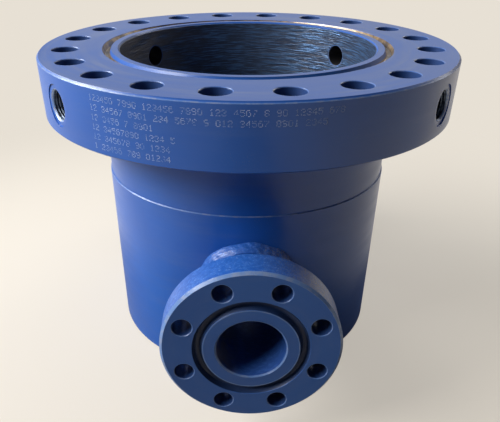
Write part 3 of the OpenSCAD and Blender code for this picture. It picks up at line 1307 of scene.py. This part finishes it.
@dataclass
class Outlet:
    """One side outlet: its flange, its neck and its weld."""

    side: Side
    enamel: MachinedEnamel = MachinedEnamel(deep=(0.024, 0.104, 0.380), bright=(0.032, 0.128, 0.440))
    forged: RoughEnamel = RoughEnamel()
    bore: BowlEnamel = BowlEnamel(
        deep=(0.016, 0.070, 0.300), bright=(0.034, 0.116, 0.410), rough=0.48, metal=0.0,
        streak_height=0.00004, swell_height=0.00010)
    # Pale film along the outlet's corner and lips: painted highlights
    edge: ScuffedEdgeHighlight = ScuffedEdgeHighlight(film=(0.140, 0.260, 0.560), bare=0.25)
    # Groove enamel far darker than the face: painted shade in the recess
    groove: MachinedEnamel = MachinedEnamel(
        deep=(0.010, 0.030, 0.100), bright=(0.014, 0.042, 0.140), rough=0.35)
    holes: ShadedHoleWall = ShadedHoleWall()
    hole_lip: float = 0.0011
    land_lip: float = 0.0012
    land_edge: float = 0.0005
    mouth_lip: Window = (0.0003, 0.0021)
    mouth_edge: float = 0.0015
    lip_weight: float = 0.8
    forged_past: float = 0.0027
    forged_r: Window = (0.098, 0.100)

    def flange_material(self) -> bpy.types.Material:
        """The flange's finish: turned face, forged rim, painted highlights along its corner and lips, a dark
        groove in painted shade, and holes whose thin film darkens with depth in painted shade.
        """
        name = self.side.name.lower()
        graph = TurnedGraph(f"{name}_outlet_flange_enamel", OUTLET_AXES[self.side])
        radius, depth = graph.radius, HEAD.outlet_reach - graph.level
        hole, hole_r = graph.hole_distance(HEAD.outlet_bolts), HEAD.outlet_bolts.hole_r
        land_r = HEAD.outlet_groove_r - HEAD.groove_w / 2.0
        on_rim = depth.past(self.forged_past) * radius.rise(*self.forged_r)
        in_bore = (1 - radius.past(HEAD.outlet_bore_r + SEAM[0])) * depth.past(self.mouth_edge - FACE_SKIN)
        # Corner, bolt hole lips, groove land and bore mouth get the pale film: painted highlights
        corner_highlight = graph.corner_mask(HEAD.outlet_r, HEAD.outlet_reach, HEAD.outlet_edge)
        lip_highlight = hole.band(hole_r, hole_r + self.hole_lip)
        land_highlight = radius.band(land_r - self.land_lip, land_r) * (1 - depth.past(self.land_edge))
        mouth_highlight = radius.band(HEAD.outlet_bore_r + self.mouth_lip[0], HEAD.outlet_bore_r + self.mouth_lip[1])
        mouth_highlight = mouth_highlight * (1 - depth.past(self.mouth_edge))
        edge_highlight = graph.largest(lip_highlight, graph.largest(land_highlight, mouth_highlight)) * self.lip_weight
        return self.enamel.coating(graph).under(
            (on_rim, self.forged.coating(graph)),
            (graph.largest(corner_highlight, edge_highlight), self.edge.coating(graph)),
            (1 - hole.past(hole_r), self.holes.coating(graph, depth)),
            (graph.groove_mask(HEAD.outlet_groove_r, depth), self.groove.coating(graph)),
            (in_bore, self.bore.coating(graph))).material(graph)

    def neck_material(self, name: str) -> bpy.types.Material:
        """Finish of the neck and the weld: rough enamel outside and the dark film in the bore.

        Args:
            name: The material's name.

        Returns:
            The material.
        """
        graph = TurnedGraph(name, OUTLET_AXES[self.side])
        in_bore = 1 - graph.radius.past(HEAD.outlet_bore_r + SEAM[0])
        return self.forged.coating(graph).under((in_bore, self.bore.coating(graph))).material(graph)

    def build(self) -> None:
        """Dresses the nodes and lays the weld."""
        name = self.side.name.lower()
        dress_node(f"{name}_outlet_flange", self.flange_material())
        dress_node(f"{name}_outlet_neck", self.neck_material(f"{name}_outlet_neck_enamel"))
        SaddleWeld(self.side).build(self.neck_material(f"{name}_weld_enamel"))


@dataclass(frozen=True)
class Lamp:
    """One soft rectangular lamp.

    Attributes:
        place: Where it stands, in metres.
        size: Its width and height.
        watts: Its power.
        colour: Its colour.
        aim: The point that it faces.
    """

    place: Place
    size: tuple[float, float]
    watts: float
    colour: Colour = (1.0, 1.0, 1.0)
    aim: Place = (0.0, 0.0, 0.25)

    def build(self, name: str) -> None:
        """Sets the lamp up.

        Args:
            name: The lamp's name.
        """
        light = bpy.data.lights.new(name, "AREA")
        light.shape = "RECTANGLE"
        light.size, light.size_y = self.size
        light.energy = self.watts
        light.color = self.colour
        stand(add_object(name, light), self.place, Vector(self.aim) - Vector(self.place))


LAMPS = {
    "key": Lamp((-2.38, -0.42, 1.86), (2.6, 1.1), 138.0, (1.0, 0.98, 0.95)),
    "back_fill": Lamp((0.7, 2.2, 2.9), (3.0, 1.2), 9.0),
    "side_fill": Lamp((2.1, 1.9, 2.0), (1.6, 1.6), 26.0, (1.0, 0.99, 0.97)),
    "left_fill": Lamp((-2.0, 1.1, 1.9), (1.0, 1.0), 26.0, (0.90, 0.95, 1.0)),
    "back_card": Lamp((0.2, 2.9, 1.45), (3.0, 1.6), 5.4, (0.70, 0.82, 1.0), (0.0, 0.0, 0.415)),
}


@dataclass
class Studio:
    """The pale floor, the soft lights and the camera at the photograph's angle."""

    black: Colour = (0.0, 0.0, 0.0)
    pale: Colour = (0.80, 0.745, 0.66)
    floor_paint: Colour = (0.26, 0.235, 0.20)
    floor_rough: float = 0.9
    floor_rings: tuple[float, ...] = (0.0001, 0.4, 1.2, 4.0, 14.0)
    floor_around: int = 96
    lit_floor: Window = (0.40, 1.1)
    least_lit: float = 0.55
    mirrored_floor: Window = (0.29, 0.43)
    mirrored_front: float = 0.80
    mirrored_aside: float = 0.03
    sky: Colour = (0.30, 0.28, 0.28)
    dusk: Colour = (0.06, 0.06, 0.08)
    sky_behind: Window = (-0.35, 0.25)
    sky_top: Window = (0.30, 0.62)
    air: Colour = (0.75, 0.82, 1.0)
    air_strength: float = 0.045
    camera_at: Place = (-0.0218, -0.8284, 0.5716)
    yaw: float = 0.135
    pitch: float = 32.985
    sensor_mm: float = 36.0
    focal_share: float = 1.1353
    shift: tuple[float, float] = (0.034, 0.130)
    clip: tuple[float, float] = (0.01, 60.0)

    def floor(self) -> None:
        """A round floor, pale to the camera and to far reflections, and plain grey to all other light.

        Its own paleness, which doesn't depend on the lamps, grows with the distance from the object, so that
        the object's shadow stays beneath it and the far floor is even. Gloss sees plain grey close to the
        object and in a long stretch in front of it.
        """
        turn = np.arange(self.floor_around) * 2.0 * np.pi / self.floor_around
        radius = np.array(self.floor_rings)[:, None]
        grid = np.stack([radius * np.cos(turn), radius * np.sin(turn), radius * np.zeros_like(turn)], axis=-1)
        made = grid_object("studio_floor", grid, False, True)
        graph = TurnedGraph("studio_floor_paint", BORE_AXIS)
        direct, mirrored = graph.ray_kinds()
        split = graph.node("ShaderNodeSeparateXYZ", {}, {0: graph.place})
        aside, along = split + self.mirrored_aside, split.other("Y")
        along = along + graph.largest(0.0 - along, 0.0) * self.mirrored_front
        seen = graph.largest(direct, mirrored * graph.length(aside, along).rise(*self.mirrored_floor))
        own = graph.radius.rise(*self.lit_floor) * (1.0 - self.least_lit) + self.least_lit
        paint = graph.blend(seen, self.floor_paint, graph.blend(own, self.pale, self.black))
        glow = graph.blend(seen * own, self.black, self.pale)
        made.data.materials.append(graph.principled({
            "Base Color": paint, "Roughness": self.floor_rough, "Specular IOR Level": 0.0,
            "Emission Color": glow, "Emission Strength": 1.0}))
        made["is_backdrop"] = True

    def world(self) -> None:
        """The air: pale to the camera, a low even fill for the object, and a sky for gloss and glass alone.

        That sky is light grey behind the object and low down, and dusk in front and overhead. Y and Z of the
        direction place the steps between the two.
        """
        bpy.context.scene.world = bpy.data.worlds.new("studio_air")
        graph = Graph(bpy.context.scene.world)
        direct, mirrored = graph.ray_kinds()
        toward = graph.node("ShaderNodeTexCoord", {}, {}, output="Generated")
        toward = graph.node("ShaderNodeSeparateXYZ", {}, {0: toward}, output="Y")
        lit = toward.rise(*self.sky_behind) * (1 - toward.other("Z").rise(*self.sky_top))
        sky = graph.background(graph.blend(lit, self.dusk, self.sky), 1.0)
        fill = graph.background((*self.air, 1.0), self.air_strength)
        pale = graph.background((*self.pale, 1.0), 1.0)
        mixed = graph.node("ShaderNodeMixShader", {}, {0: mirrored, 1: fill, 2: sky})
        mixed = graph.node("ShaderNodeMixShader", {}, {0: direct, 1: mixed, 2: pale})
        graph.node("ShaderNodeOutputWorld", {}, {"Surface": mixed}, output=None)

    def camera(self) -> None:
        """The photograph's camera: level, turned by yaw and pitch, with the shift that its crop needs."""
        data = bpy.data.cameras.new("camera")
        data.sensor_width = self.sensor_mm
        data.lens = self.sensor_mm * self.focal_share
        data.shift_x, data.shift_y = self.shift
        data.clip_start, data.clip_end = self.clip
        yaw, pitch = math.radians(self.yaw), math.radians(self.pitch)
        level = math.cos(pitch)
        made = add_object("camera", data)
        stand(made, self.camera_at, Vector((math.sin(yaw) * level, math.cos(yaw) * level, -math.sin(pitch))))
        bpy.context.scene.camera = made

    def build(self) -> None:
        """Sets up the floor, the light and the camera."""
        self.floor()
        self.world()
        for name, lamp in LAMPS.items():
            lamp.build(name)
        self.camera()
        bpy.context.scene.view_settings.view_transform = "Standard"


def corners() -> list[list[float]]:
    """The whole object's box as plain lists."""
    return [list(corner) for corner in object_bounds()]


def main() -> None:
    """Builds the head and the studio in order."""
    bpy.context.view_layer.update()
    BoltedTop().build()
    for side in Side:
        Outlet(side).build()
    Studio().build()


if __name__ == "__main__":
    logging.basicConfig(level=logging.INFO, format="%(name)s: %(message)s")
    main()
